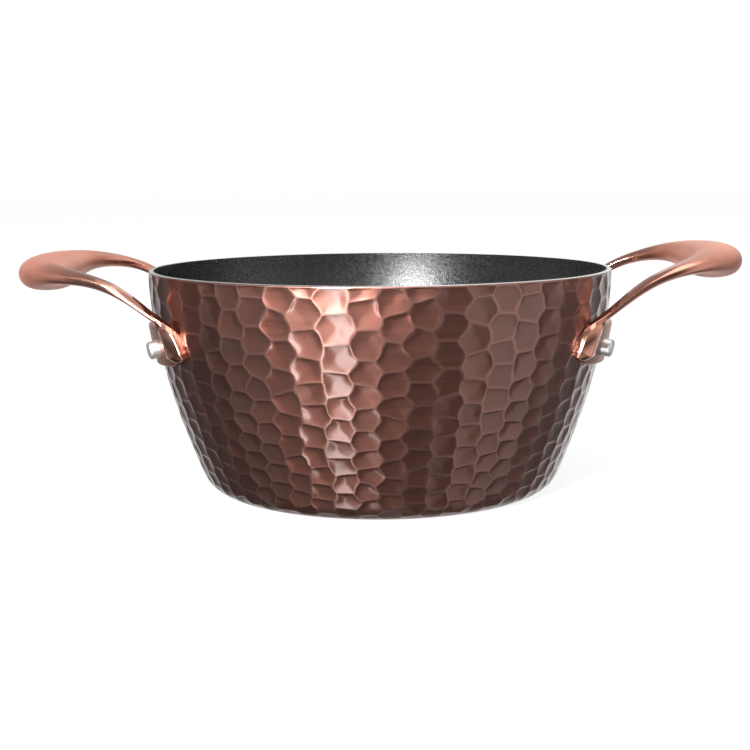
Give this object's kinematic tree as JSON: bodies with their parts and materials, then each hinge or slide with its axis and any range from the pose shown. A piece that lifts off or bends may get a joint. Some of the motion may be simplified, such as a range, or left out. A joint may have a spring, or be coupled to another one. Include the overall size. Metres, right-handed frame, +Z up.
{
  "type": "cooking pot",
  "caption": "Round flared two-handled cooking pot, hammered copper-tone outside, dark non-stick inside, riveted rose-gold loop handles.",
  "frame": {"origin": "centre of the flat underside, on the table", "axes": "+Z up along the pot's axis, X through both handles, Y across"},
  "size_m": [0.3738, 0.24, 0.1267],
  "materials": {
    "hammered_body": "hammered aluminium under a dark copper-tone lacquer, bare machined lip",
    "nonstick": "satin charcoal non-stick coat with fine speckle",
    "base_steel": "turned stainless steel",
    "rose_gold": "polished die casting, rose-gold plated",
    "rivet_metal": "satin aluminium"
  },
  "bodies": {
    "root": {"pot_body": "hammered_body", "nonstick_lining": "nonstick", "base_disc": "base_steel", "handle_left": "rose_gold", "handle_right": "rose_gold", "rivet_left_front": "rivet_metal", "rivet_left_rear": "rivet_metal", "rivet_right_front": "rivet_metal", "rivet_right_rear": "rivet_metal"}
  },
  "joints": []
}
